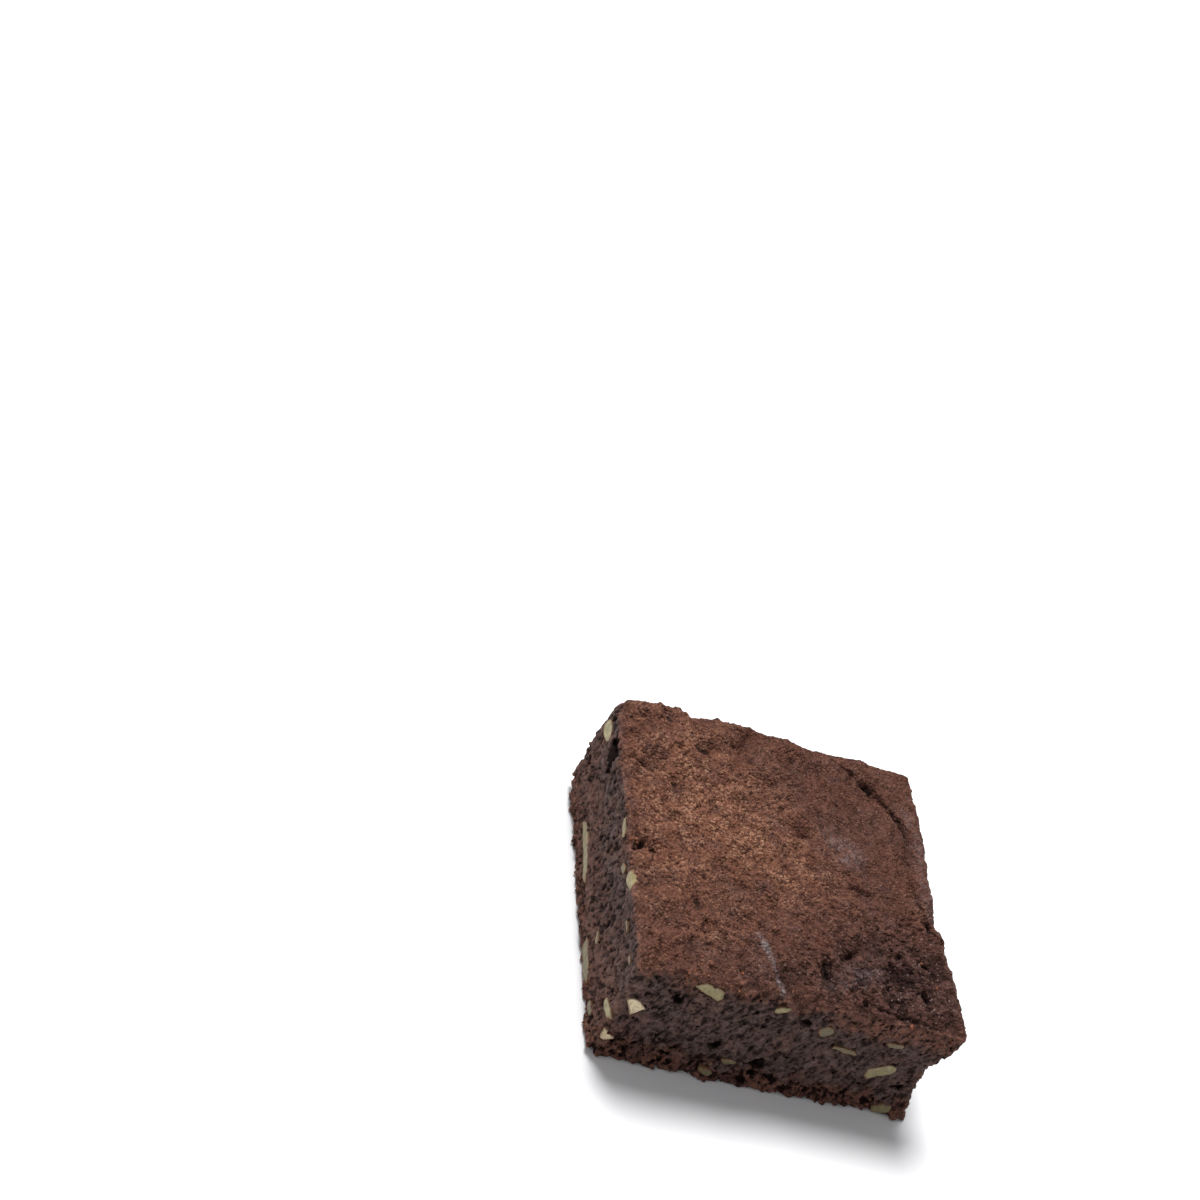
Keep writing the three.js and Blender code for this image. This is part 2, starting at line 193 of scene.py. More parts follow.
# Fine cracks in the crust: path, half width and depth.
FINE_CRACKS = [
    ([(-34, 18.0), (-30.5, 17.4), (-28.6, 17.0)], 0.45, 0.9),
    ([(13.2, -2.2), (15.4, -3.1), (17.8, -3.4)], 0.4, 0.8),
    ([(-4.8, 31.4), (-5.4, 29.0), (-6.4, 26.6)], 0.9, 0.45),
    ([(-16.2, 30.8), (-16.0, 29.0), (-16.8, 27.6)], 0.6, 0.4),
    ([(8.6, -20.8), (10.4, -19.4), (12.6, -17.4)], 0.5, 0.9),
    ([(16.8, -12.6), (19.0, -12.2), (21.4, -12.8)], 0.4, 0.7),
    ([(11.6, -30.2), (15.4, -31.3), (20.0, -31.4), (25.0, -32.3), (33.0, -32.6)], 0.3, 0.9),
    ([(-12.4, -5.6), (-7.8, -6.2), (-3.0, -6.0), (2.4, -4.4)], 0.6, 0.25),
]

# Pits in the crust: x, y, radius and depth.
CRUST_PITS = [
    (21.6, 26.9, 0.5, 0.25),
    (-28.3, 17.0, 0.6, 0.9),
    (-22.5, 15.0, 0.6, 0.8),
    (5.0, 8.5, 0.8, 0.5),
    (-18.8, -20.2, 1.1, 1.1),
    (-21.3, -15.0, 0.6, 0.6),
    (-24.0, -27.5, 0.6, 0.6),
    (-32.0, -4.6, 0.9, 2.2),
    (-30.0, -3.2, 0.7, 1.6),
    (-31.8, -0.8, 0.7, 1.3),
    (-33.2, -2.2, 0.8, 1.6),
    (-29.4, -0.9, 0.5, 0.9),
    (-28.2, -5.0, 0.6, 0.8),
    (5.6, -23.4, 1.1, 1.7),
    (11.2, -18.4, 0.7, 1.0),
    (20.5, -18.0, 0.8, 1.1),
    (26.0, -18.5, 0.7, 1.2),
    (25.0, -25.0, 0.9, 1.2),
    (17.6, -25.6, 0.7, 1.0),
    (-3.6, 21.4, 0.8, 0.7),
    (30.4, -7.2, 1.0, 1.0),
]

# The baked-in air bubble under the crust, open at the left side, and a smaller one, as eggs:
# centre and half sizes.
BUBBLES = [
    ((-33.0, 22.2, 21.8), (4.6, 2.1, 3.2)),
    ((-33.4, 21.0, 19.8), (3.4, 1.6, 1.9)),
    ((-33.4, 23.8, 23.4), (3.4, 1.5, 1.8)),
    ((-33.6, 30.4, 23.8), (2.4, 1.2, 1.3)),
]

# Other hollows to cut away, in the same way.
HOLLOWS = [
    # Pits in the crumb of the left side.
    ((-33.4, -6.0, 16.6), (1.4, 1.3, 1.0)),
    ((-33.0, -13.6, 16.2), (0.9, 0.9, 0.7)),
    ((-33.0, -25.6, 15.0), (0.9, 1.0, 0.7)),
    ((-33.0, 6.6, 12.8), (0.9, 0.9, 0.8)),
    # Holes in the crumb of the front side.
    ((-1.3, -33.0, 6.9), (1.8, 2.2, 1.5)),
    ((-0.9, -33.6, 3.6), (1.2, 1.8, 1.3)),
    ((-10.8, -33.0, 9.2), (1.5, 1.6, 0.9)),
    ((-22.4, -33.2, 19.0), (0.9, 1.5, 1.2)),
    ((2.0, -33.0, 20.2), (1.2, 1.0, 0.9)),
    ((28.0, -33.0, 8.2), (2.4, 1.2, 0.9)),
    # The broken edge at the front right, with its overhanging lip.
    ((33.4, -33.8, 9.6), (2.4, 3.4, 1.7)),
    # Where the base has crumbled away at the front left and back left corners.
    ((-34.6, -35.2, 0.8), (4.4, 3.6, 3.4)),
    ((-34.6, 35.6, 0.6), (6.0, 6.4, 2.6)),
]


# Corners that are worn off: the corner, the direction out of it and how much is gone.
WORN_CORNERS = [
    ((-32.8, 34.1, 27.0), (-0.60, 0.58, 0.55), 2.0),
    ((32.3, -33.2, 26.2), (0.62, -0.55, 0.56), 1.2),
    ((-32.8, -33.1, 26.2), (-0.6, -0.6, 0.53), 0.8),
]


def grid_places(axis, first, last):
    """The grid's places along one axis, shaped to meet those of the other two."""
    shape = [1, 1, 1]
    shape[axis] = last - first
    return (GRID_CORNER[axis] + VOXEL * np.arange(first, last)).reshape(shape)


def path_distance(x, y, path):
    """How far each place is from a path, and on which side: positive to its left."""
    nearest = np.full(np.broadcast(x, y).shape, np.inf, np.float32)
    signed = np.zeros_like(nearest)
    for start, end in zip(path[:-1], path[1:]):
        run_x = end[0] - start[0]
        run_y = end[1] - start[1]
        off_x = x - start[0]
        off_y = y - start[1]
        along = (off_x * run_x + off_y * run_y) / (run_x**2 + run_y**2)
        along = np.clip(along, 0, 1)
        distance = np.hypot(off_x - along * run_x, off_y - along * run_y)
        side = np.sign(run_x * off_y - run_y * off_x)
        closer = distance < nearest
        signed = np.where(closer, side * distance, signed)
        nearest = np.where(closer, distance, nearest)
    return signed


def turned_bump(x, y, middle_x, middle_y, along, across, turn):
    """1 at a spot's middle, fading to 0; its half sizes are turned by so many degrees."""
    angle = math.radians(turn)
    u = (x - middle_x) * math.cos(angle) + (y - middle_y) * math.sin(angle)
    v = (y - middle_y) * math.cos(angle) - (x - middle_x) * math.sin(angle)
    return np.exp(-((u / along) ** 2) - (v / across) ** 2)


def crust_relief(x, y):
    """Height of the crust above or below its mean level, without the fine detail."""
    outside = path_distance(x, y, CRACK_PATH)
    fall = np.exp(-((np.maximum(outside, 0) / RIM_WIDTH) ** 2))
    height = RIM_RISE * smoothstep(outside, -RIM_STEP, RIM_STEP) * fall
    height = height + 0.4 * wave(x, y, 1)
    for *form, rise in CRUST_FORMS:
        height = height + rise * turned_bump(x, y, *form)
    return height


class Noise:
    """Seeded smooth noise on the grid's first axes, by bands of sizes, with a spread of 1."""

    def __init__(self, seed, axes):
        self.shape = GRID_SHAPE[:axes]
        random = np.random.default_rng(seed)
        self.spectrum = np.fft.rfftn(random.standard_normal(self.shape))
        self.frequencies = []
        for axis, count in enumerate(self.shape):
            last = axis == axes - 1
            line = np.fft.rfftfreq(count, VOXEL) if last else np.fft.fftfreq(count, VOXEL)
            shape = [1] * axes
            shape[axis] = len(line)
            self.frequencies.append(line.reshape(shape))

    def band(self, size, shift=0.0, grain=None, stretch=1.0):
        """Lumps of about this size, longer along the direction grain by the stretch."""
        squared = sum(f**2 for f in self.frequencies)
        if grain is not None:
            direction = np.array(grain) / np.linalg.norm(grain)
            ahead = sum(d * f for d, f in zip(direction, self.frequencies))
            squared = squared + (stretch**2 - 1) * ahead**2
        per_size = 2 * size * np.sqrt(squared)
        window = np.exp(-(((per_size - 1) / 0.5) ** 2))
        moved = sum(step * f for step, f in zip((7.0, 5.0, 3.0), self.frequencies))
        turned = np.exp(2j * math.pi * shift * moved)
        field = np.fft.irfftn(self.spectrum * window * turned, self.shape)
        return (field / field.std()).astype(np.float32)


def block_field(x, y, z, relief):
    """Distance to the uneven square without the fine detail, and depth from its cut sides."""
    rightward = np.clip((x - MIDDLE[0]) / (WIDTH / 2), -1, 1)
    backward = np.clip((y - MIDDLE[1]) / (DEPTH / 2), -1, 1)
    level = np.clip(z / HEIGHT, 0, 1)
    foot = FOOT_FLARE * smoothstep(FOOT_HEIGHT - np.clip(z, 0, None), 0, FOOT_HEIGHT)
    foot_wave = foot * (0.7 + 0.6 * wave(2 * x, 9, 4))
    shift_x = rightward * SIDE_WAVE * wave(y, z, 2)
    shift_y = backward * (SIDE_WAVE * wave(x, z, 3) + foot_wave)
    halfway = np.sin(math.pi * level) ** 2
    waist = FRONT_RIGHT_WAIST * halfway * smoothstep(rightward - backward, 0.9, 2)
    shoulder = FRONT_RIGHT_SHOULDER * smoothstep(-backward, 0.2, 0.9)
    shoulder = shoulder * smoothstep(z, 0.5 * HEIGHT, 0.85 * HEIGHT)
    shoulder = shoulder + BACK_RIGHT_BULGE * smoothstep(backward, 0.2, 0.9)
    shift_x = shift_x + np.maximum(rightward, 0) * shoulder - waist
    belly = BACK_LEFT_BELLY * halfway * smoothstep(backward - rightward, 0.9, 2)
    bow = BACK_BULGE * np.exp(-(((x + 10) / 26) ** 2)) - 0.5
    shift_y = shift_y + 0.5 * waist + np.maximum(backward, 0) * (belly + bow)
    shift_z = smoothstep(z, 0.3 * HEIGHT, HEIGHT) * relief
    rounding = BASE_ROUND + (CRUST_ROUND - BASE_ROUND) * level
    outside = [
        np.abs(x - shift_x - MIDDLE[0]) - WIDTH / 2 + rounding,
        np.abs(y - shift_y - MIDDLE[1]) - DEPTH / 2 + rounding,
        np.abs(z - shift_z - HEIGHT / 2) - HEIGHT / 2 + rounding,
    ]
    beyond = np.sqrt(sum(np.maximum(part, 0) ** 2 for part in outside))
    within = np.minimum(np.maximum(np.maximum(outside[0], outside[1]), outside[2]), 0)
    distance = (beyond + within - rounding).astype(np.float32)
    depth = (rounding - np.maximum(outside[0], outside[1])).astype(np.float32)
    return distance, depth


def near(centre, reach):
    """The part of the grid within reach of a place, as slices, and its axes."""
    slices = []
    places = []
    for axis in range(3):
        first = (centre[axis] - reach[axis] - GRID_CORNER[axis]) / VOXEL
        last = (centre[axis] + reach[axis] - GRID_CORNER[axis]) / VOXEL
        first = max(int(first) - 1, 0)
        last = min(int(last) + 3, GRID_SHAPE[axis])
        slices.append(slice(first, last))
        places.append(grid_places(axis, first, last))
    return tuple(slices), places


def egg_field(places, centre, half):
    """Rough distance to an egg with the given half sizes."""
    share = np.sqrt(sum(((p - c) / h) ** 2 for p, c, h in zip(places, centre, half)))
    return (share - 1) * min(half)


def cut_egg(field, centre, half, medium):
    """Cuts an egg with an uneven surface."""
    slices, places = near(centre, [2 * h + 1 for h in half])
    egg = egg_field(places, centre, half) + 0.25 * medium[slices]
    field[slices] = np.maximum(field[slices], -egg)


def cut_tilted_pore(field, centre, half, along, stretch):
    """Cuts an egg that is stretched along a direction."""
    reach = half * stretch + 0.6
    slices, places = near(centre, [reach] * 3)
    off = [p - c for p, c in zip(places, centre)]
    ahead = sum(o * a for o, a in zip(off, along))
    squared = sum(o * o for o in off) - ahead**2
    share = np.sqrt(np.maximum(squared, 0) + (ahead / stretch) ** 2)
    field[slices] = np.maximum(field[slices], half - share)


def sample(field, points):
    """The field's value at each point, between the grid's places."""
    places = (np.asarray(points) - GRID_CORNER) / VOXEL
    places = np.clip(places, 0, np.array(GRID_SHAPE) - 1.001)
    low = np.floor(places).astype(int)
    share = places - low
    total = 0
    for corner in range(8):
        step = np.array([corner & 1, (corner >> 1) & 1, (corner >> 2) & 1])
        weight = np.prod(np.where(step, share, 1 - share), axis=-1)
        at = low + step
        total = total + weight * field[at[..., 0], at[..., 1], at[..., 2]]
    return total


def side_pores(random):
    """Torn pores over the cut sides, denser low down: centre, half width, direction, stretch."""
    pores = []
    for _ in range(PORE_COUNT):
        side = random.integers(4)
        along = random.uniform(-31, 31)
        up = 1.3 + 22.7 * random.random() ** 1.3
        half = PORE_LEAST + (PORE_MOST - PORE_LEAST) * random.random() ** 3
        slant = math.radians(random.normal(66, 18))
        inward = random.uniform(-0.1, 0.5)
        lean = math.cos(slant)
        rise = math.sin(slant)
        centre, direction = {
            0: ((along, MIDDLE[1] - DEPTH / 2 + inward, up), (lean, 0, rise)),
            1: ((MIDDLE[0] - WIDTH / 2 + inward, -along, up), (0, -lean, rise)),
            2: ((MIDDLE[0] + WIDTH / 2 - inward, along, up), (0, lean, rise)),
            3: ((-along, MIDDLE[1] + DEPTH / 2 - inward, up), (-lean, 0, rise)),
        }[int(side)]
        pores.append((centre, half, direction, random.uniform(1.3, 2.4)))
    return pores


def to_metres(points):
    return (np.asarray(points) + np.array(CENTRING)) * METRES


def to_millimetres(points):
    return np.asarray(points) / METRES - np.array(CENTRING)


def surface_of(field, voxel, corner, adaptivity):
    """The surface where the field is 0: points, triangles and quads, facing out."""
    band = 3 * voxel
    grid = openvdb.FloatGrid(band)
    grid.copyFromArray(np.clip(field, -band, band).astype(np.float32))
    grid.transform = openvdb.createLinearTransform(voxelSize=voxel)
    points, triangles, quads = grid.convertToPolygons(isovalue=0.0, adaptivity=adaptivity)
    points = np.asarray(points, float) + corner
    return points, np.asarray(triangles, int), np.asarray(quads, int)


def add_object(name, data):
    thing = bpy.data.objects.new(name, data)
    bpy.context.scene.collection.objects.link(thing)
    return thing


def largest_shell(points, triangles, quads):
    """Keeps the faces of the largest connected surface."""
    label = np.arange(len(points))
    edges = np.concatenate(
        [quads[:, [0, 1]], quads[:, [1, 2]], quads[:, [2, 3]]]
        + [triangles[:, [0, 1]], triangles[:, [1, 2]]]
    )
    while True:
        lowest = np.minimum(label[edges[:, 0]], label[edges[:, 1]])
        following = label.copy()
        np.minimum.at(following, edges[:, 0], lowest)
        np.minimum.at(following, edges[:, 1], lowest)
        following = following[following]
        if np.array_equal(following, label):
            break
        label = following
    keep = label == np.bincount(label).argmax()
    renumber = np.cumsum(keep) - 1
    triangles = renumber[triangles[keep[triangles[:, 0]]]]
    quads = renumber[quads[keep[quads[:, 0]]]]
    return points[keep], triangles, quads


def mesh_piece(name, points, triangles, quads):
    """An object of the given faces, turned so that they face out."""
    corners = points[quads[:, :3]] if len(quads) else points[triangles]
    across = np.cross(corners[:, 1] - corners[:, 0], corners[:, 2] - corners[:, 0])
    if np.einsum("ij,ij->i", corners[:, 0] - points.mean(0), across).sum() < 0:
        triangles = triangles[:, ::-1]
        quads = quads[:, ::-1]
    mesh = bpy.data.meshes.new(name)
    mesh.vertices.add(len(points))
    mesh.vertices.foreach_set("co", to_metres(points).astype(np.float32).ravel())
    around = np.concatenate([triangles.ravel(), quads.ravel()])
    mesh.loops.add(len(around))
    mesh.loops.foreach_set("vertex_index", around.astype(np.int32))
    totals = np.concatenate([np.full(len(triangles), 3), np.full(len(quads), 4)])
    starts = np.concatenate([[0], np.cumsum(totals)[:-1]])
    mesh.polygons.add(len(totals))
    mesh.polygons.foreach_set("loop_start", starts.astype(np.int32))
    mesh.polygons.foreach_set("loop_total", totals.astype(np.int32))
    mesh.update(calc_edges=True)
    mesh.validate()
    return add_object(name, mesh)


def thin_out(piece, most):
    """Merges the faces that matter least until no more than this many triangles are left."""
    count = sum(len(polygon.vertices) - 2 for polygon in piece.data.polygons)
    if count <= most:
        return
    modifier = piece.modifiers.new("thin", "DECIMATE")
    modifier.ratio = most / count
    evaluated = piece.evaluated_get(bpy.context.evaluated_depsgraph_get())
    thinned = bpy.data.meshes.new_from_object(evaluated)
    piece.modifiers.clear()
    piece.data = thinned


def points_of(piece):
    places = np.empty(3 * len(piece.data.vertices), np.float32)
    piece.data.vertices.foreach_get("co", places)
    return to_millimetres(places.reshape(-1, 3))


def set_values(piece, values):
    """Smooths the piece and keeps named values at its points, for its material to read."""
    piece.data.shade_smooth()
    piece.data.set_sharp_from_angle(angle=SHARP_ANGLE)
    count = len(piece.data.vertices)
    for name, value in values.items():
        layer = piece.data.attributes.new(name, "FLOAT", "POINT")
        layer.data.foreach_set("value", np.broadcast_to(value, count).astype(np.float32))


def values_of(piece, name):
    """The named values that are kept at the piece's points."""
    values = np.empty(len(piece.data.vertices), np.float32)
    piece.data.attributes[name].data.foreach_get("value", values)
    return values


def crust_character(x, y):
    """How rough, how grainy and how lively the crust is at each place, from 0 to 1."""
    inside = WIDTH / 2 - np.abs(x - MIDDLE[0])
    inside = np.minimum(inside, DEPTH / 2 - np.abs(y - MIDDLE[1]))
    rough = smoothstep(x - 1.1 * y, 6, 40) * smoothstep(-y, -8, 16)
    rough = rough * smoothstep(inside, -0.5, 3.0)
    grainy = smoothstep(-x + 0.3 * y, -22, 16)
    return rough, grainy, 0.6 + 0.4 * np.maximum(grainy, rough)


def carve_crust(height, x, y, coarse, medium):
    """The crust's height with its cracks and pits cut into it."""
    crack = np.abs(path_distance(x, y, CRACK_PATH) + 0.18 * medium)
    depth = (0.4 + 0.7 * smoothstep(y, 8, 18)) * smoothstep(y, 27.9, 27.1)
    height = height - depth * np.exp(-((crack / CRACK_WIDTH) ** 2))
    for path, width, depth in FINE_CRACKS:
        distance = np.abs(path_distance(x, y, path) + 0.12 * medium)
        height = height - depth * np.exp(-((distance / width) ** 2))
    for pit_x, pit_y, radius, depth in CRUST_PITS:
        distance = np.hypot(x - pit_x, y - pit_y) * (1 + 0.16 * medium + 0.1 * coarse)
        height = height - depth * np.exp(-((distance / radius) ** 3))
    return height


def crust_detail(x, y, noise):
    """Fine relief of the crust: lumps, grain, cracks and pits, roughest at the front right."""
    x = x[:, :, 0]
    y = y[:, :, 0]
    rough, grainy, lively = crust_character(x, y)
    coarse = noise.band(2.2)
    medium = noise.band(1.1, shift=1.0)
    height = 0.28 * lively * noise.band(4.2)
    knobs = 1 - np.exp(-1.6 * np.abs(noise.band(2.7, shift=1.7))) - 0.62
    height = height + 0.17 * lively * coarse + 0.75 * rough * knobs
    height = height + 0.12 * lively * medium
    height = height + 0.34 * rough * (np.abs(noise.band(1.2, shift=2.4)) - 0.8)
    height = height + (0.04 + 0.02 * grainy + 0.04 * rough) * noise.band(0.6, shift=2.0)
    sand = np.random.default_rng(BODY_SEED).standard_normal(height.shape)
    height = height + (0.03 + 0.015 * grainy + 0.02 * rough) * sand
    return carve_crust(height, x, y, coarse, medium)[:, :, None]


def tear_sides(field, noise, ragged, footness, patches):
    """Slanted slits in patches, and tears of two sizes that grow towards the foot."""
    slits = np.exp(-((noise.band(0.8, 1.3, GRAIN, 2.0) / 0.28) ** 2))
    slits = slits * smoothstep(patches + 2.2 * footness, 0.2, 2.6)
    field = field + ragged * 0.55 * slits
    small_tears = noise.band(0.62, 2.6, GRAIN, 1.5)
    field = field + ragged * 0.6 * smoothstep(small_tears, 1.35 - 0.5 * footness, 1.95)
    wide_tears = noise.band(1.3, 2.1, GRAIN, 2.0)
    torn = smoothstep(wide_tears, 1.7 - 0.7 * footness, 2.3 - 0.5 * footness)
    return field + ragged * (0.68 + 0.32 * footness) * torn


def roughen(places, fields, detail, noise):
    """The square's field with the crust's fine relief, and with lumps and tears at its sides."""
    x, y, z = places
    coarse = fields["coarse"]
    below_top = fields["below_top"]
    topness = smoothstep(fields["depth"] - np.maximum(below_top, 0), -0.5, 0.7)
    topness = topness * smoothstep(below_top, 3.0, 1.6)
    sideness = 1 - topness
    footness = smoothstep(z + 0.8 * fields["broad"], 9.0, 2.0)
    footness = footness * (0.5 + 0.5 * smoothstep(-y, 24, 33))
    rind = smoothstep(below_top, 2.6, 1.2)
    field = fields["plain"] - topness * (detail - 0.12)
    lumps = 0.11 * coarse + 0.12 * fields["medium"] + 0.09 * fields["fine"]
    lumpiness = (0.75 + 0.5 * footness) * (1 - 0.4 * rind)
    field = field - sideness * lumpiness * (lumps - 0.12)
    from_corner = WIDTH / 2 - np.abs(x - MIDDLE[0])
    from_corner = np.maximum(from_corner, DEPTH / 2 - np.abs(y - MIDDLE[1]))
    whole = smoothstep(z, 0.3, 2.0) * (0.2 + 0.8 * smoothstep(from_corner, 0.8, 3.5))
    ragged = sideness * (1 - 0.7 * rind) * whole
    return tear_sides(field, noise, ragged, footness, fields["broad"] - coarse)


def hollow_out(field, places, coarse, medium, nuts):
    """Cuts bubbles, hollows, pores, worn corners, the flat base and the walnut's pockets."""
    for centre, half in BUBBLES + HOLLOWS:
        cut_egg(field, centre, half, medium)
    for pore in side_pores(np.random.default_rng(BODY_SEED)):
        cut_tilted_pore(field, *pore)
    for corner, direction, gone in WORN_CORNERS:
        beyond = sum(d * (axis - c) for d, axis, c in zip(direction, places, corner))
        field = np.maximum(field, beyond + gone + 0.25 * coarse + 0.15 * medium)
    field = np.maximum(field, -places[2])
    for nut in nuts:
        slices, places_near = near(nut["centre"], nut["reach"] + 1.5)
        pocket = hull_field(places_near, nut["planes"]) + 0.08 * medium[slices] + 0.03
        field[slices] = np.maximum(field[slices], -pocket)
    return field


def part_layers(field, places, line, depth):
    """The crust above an uneven line, and the crumb below it in two halves along a diagonal."""
    x, y, z = places
    line = line + (INNER_FACE - line) * smoothstep(depth, 1.4, 3.4)
    below_line = line - z
    lap = LAP * smoothstep(depth, LAP_DEPTH, 0.5 * LAP_DEPTH)
    sunk = LAP_SINK * smoothstep(below_line, LAP, 0.5 * LAP)
    crumb = np.maximum(field + sunk, LAYER_GAP - lap - below_line)
    diagonal = ((x - MIDDLE[0]) * DEPTH + (y - MIDDLE[1]) * WIDTH) / math.hypot(WIDTH, DEPTH)
    sunk = LAP_SINK * smoothstep(diagonal, 2 * LAP, LAP)
    return {
        "crust": np.maximum(field, below_line),
        "crumb_front": np.maximum(crumb, diagonal - lap),
        "crumb_back": np.maximum(crumb + sunk, LAYER_GAP - lap - diagonal),
    }


def build_body_fields(nuts):
    """The fields of the crust and the crumb, and those that their materials read."""
    places = [grid_places(a, 0, GRID_SHAPE[a]).astype(np.float32) for a in range(3)]
    relief = crust_relief(*places[:2])
    plain, depth = block_field(*places, relief)
    detail = crust_detail(*places[:2], Noise(BODY_SEED, 2))
    below_top = HEIGHT + relief - places[2]
    fields = {"plain": plain, "depth": depth, "below_top": np.broadcast_to(below_top, GRID_SHAPE)}
    noise = Noise(BODY_SEED + 1, 3)
    for name, size in (("broad", 4.6), ("coarse", 2.3), ("medium", 1.1), ("fine", 0.55)):
        fields[name] = noise.band(size)
    field = roughen(places, fields, detail, noise)
    field = hollow_out(field, places, fields["coarse"], fields["medium"], nuts)
    thickness = CRUST_THICKNESS + 0.3 * fields["coarse"] + 0.15 * fields["medium"]
    line = HEIGHT + relief - np.maximum(thickness, 0.6) - np.maximum(-detail, 0)
    fields.update(part_layers(field, places, line, depth))
    return fields


# The direction out of the square at each cut side.
OUTWARD = {
    "front": (0, -1, 0),
    "left": (-1, 0, 0),
    "right": (1, 0, 0),
    "back": (0, 1, 0),
}


def chop(points, planes, side, heading, share):
    """A straight chop across a piece: its heading on the side, and how far out it lies."""
    right = Vector(OUTWARD[side]).cross(Vector((0, 0, -1)))
    angle = math.radians(heading)
    normal = right * math.cos(angle) + Vector((0, 0, 1)) * math.sin(angle)
    middle = (points.min(0) + points.max(0)) / 2
    reach = ((points - middle) @ np.array(normal)).max()
    offset = normal.dot(Vector(middle)) + share * reach
    return np.vstack([planes, (*normal, offset)])


def hull_planes(points, outward):
    """The planes of the points' convex hull that don't face outward: normals and offsets."""
    hull = bmesh.new()
    for point in points:
        hull.verts.new(point)
    bmesh.ops.convex_hull(hull, input=hull.verts)
    planes = []
    middle = Vector(points.mean(0))
    for face in hull.faces:
        if face.calc_area() < 1e-5:
            continue
        normal = face.normal.copy()
        offset = normal.dot(face.verts[0].co)
        if normal.dot(middle) > offset:
            normal = -normal
            offset = -offset
        if normal.dot(outward) < 0.55:
            planes.append((*normal, offset))
    hull.free()
    return np.array(planes)


def hull_field(places, planes):
    """Distance to a convex hull with softened edges."""
    total = 0
    for normal_x, normal_y, normal_z, offset in planes:
        height = normal_x * places[0] + normal_y * places[1] + normal_z * places[2] - offset
        total = total + np.exp(np.clip(height / NUT_SOFTNESS, -40, 20))
    return NUT_SOFTNESS * np.log(total) - NUT_SWELL


# The walnut pieces in the picture: how fresh each looks, from 0 to 1, how much larger than its
# solid it is, along the side and upwards, and the chops that give it corners: heading on the
# side in degrees and how far out.
SHOWN_NUTS = {
    "nut_front_01": (0.62, (1.08, 1.15), [(120, 0.95)]),
    "nut_front_02": (0.62, (1.15, 1.15), [(100, 0.5)]),
    "nut_front_03": (0.34, (1.1, 1.35), [(140, 0.6)]),
    "nut_front_04": (0.36, (1.12, 1.35), [(-100, 0.6)]),
    "nut_front_05": (0.26, (1.3, 1.4), []),
    "nut_front_06": (0.62, (1.06, 1.4), [(125, 0.72), (-55, 0.78)]),
    "nut_front_07": (0.52, (1.2, 1.3), []),
    "nut_front_08": (1.0, (1.1, 1.3), [(68, 0.62), (-39, 0.53), (210, 0.49)]),
    "nut_front_09": (1.0, (1.15, 1.2), [(52, 0.52), (-66, 0.59), (184, 0.53)]),
    "nut_front_10": (0.36, (1.15, 1.3), []),
    "nut_front_11": (0.4, (1.0, 1.0), []),
    "nut_left_01": (0.52, (1.0, 1.6), []),
    "nut_left_02": (0.6, (1.2, 1.0), []),
    "nut_left_03": (0.68, (1.0, 1.5), []),
    "nut_left_04": (0.4, (1.15, 1.25), []),
    "nut_left_05": (0.4, (1.0, 1.0), []),
    "nut_left_06": (0.35, (1.0, 1.0), []),
    "nut_left_07": (0.4, (1.0, 1.0), []),
    "nut_left_08": (0.42, (1.25, 1.4), []),
    "nut_left_09": (0.62, (1.15, 1.7), []),
    "nut_left_10": (0.3, (1.1, 1.4), []),
    "nut_left_11": (0.7, (1.0, 2.0), [(40, 0.8)]),
}


def read_nuts():
    """The walnut nodes of the frame, each with its planes, middle, reach and tone."""
    random = np.random.default_rng(NUT_SEED)
    tone_random = np.random.default_rng(NUT_TONE_SEED)
    nuts = []
    for node in sorted(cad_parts):
        if not node.startswith("nut_"):
            continue
        side = node.split("_")[1]
        points = to_millimetres([v.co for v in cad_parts[node].data.vertices])
        middle = (points.min(0) + points.max(0)) / 2
        hidden_nut = (0.3 + 0.6 * tone_random.random(), (1.0, 1.0), [])
        tone, (along, upward), chops = SHOWN_NUTS.get(node, hidden_nut)
        growth = np.where(np.abs(OUTWARD[side]), 1.0, (along, along, upward))
        points = middle + (points - middle) * growth
        planes = hull_planes(points, Vector(OUTWARD[side]))
        if side in ("right", "back"):
            chops = [(random.uniform(0, 360), random.uniform(0.35, 0.8))]
        for heading, share in chops:
            planes = chop(points, planes, side, heading, share)
        reach = np.ptp(points, axis=0) / 2 + 0.6
        nut = {"node": node, "planes": planes, "centre": middle, "reach": reach, "tone": tone}
        nuts.append(nut)
    return nuts


def build_nut(nut, fields, material):
    """One chopped piece: a softened, slightly lumpy hull, cut flush with the side."""
    low = nut["centre"] - nut["reach"]
    counts = np.ceil(2 * nut["reach"] / NUT_VOXEL).astype(int) + 2
    lines = [low[a] + NUT_VOXEL * np.arange(counts[a]) for a in range(3)]
    places = np.stack(np.meshgrid(*lines, indexing="ij"), axis=-1)
    chunk = hull_field(np.moveaxis(places, -1, 0), nut["planes"])
    chunk = chunk + 0.035 * sample(fields["medium"], places)
    cut = sample(fields["plain"], places) + 0.05 + 0.05 * sample(fields["coarse"], places)
    cut = cut + 0.025 * sample(fields["fine"], places)
    field = np.maximum(np.maximum(chunk, cut), 0.05 - places[..., 2])
    surface = surface_of(field, NUT_VOXEL, low, 0.0)
    points, triangles, quads = largest_shell(*surface)
    from_edge = -hull_field(points.T, nut["planes"])
    inward = -sample(fields["plain"], points)
    name = "walnut" + nut["node"].removeprefix("nut")
    piece = mesh_piece(name, points, triangles, quads)
    set_values(piece, {"from_edge": from_edge, "inward": inward, "tone": nut["tone"]})
    piece.data.materials.append(material)
    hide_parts(nut["node"])
    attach(piece, "root")


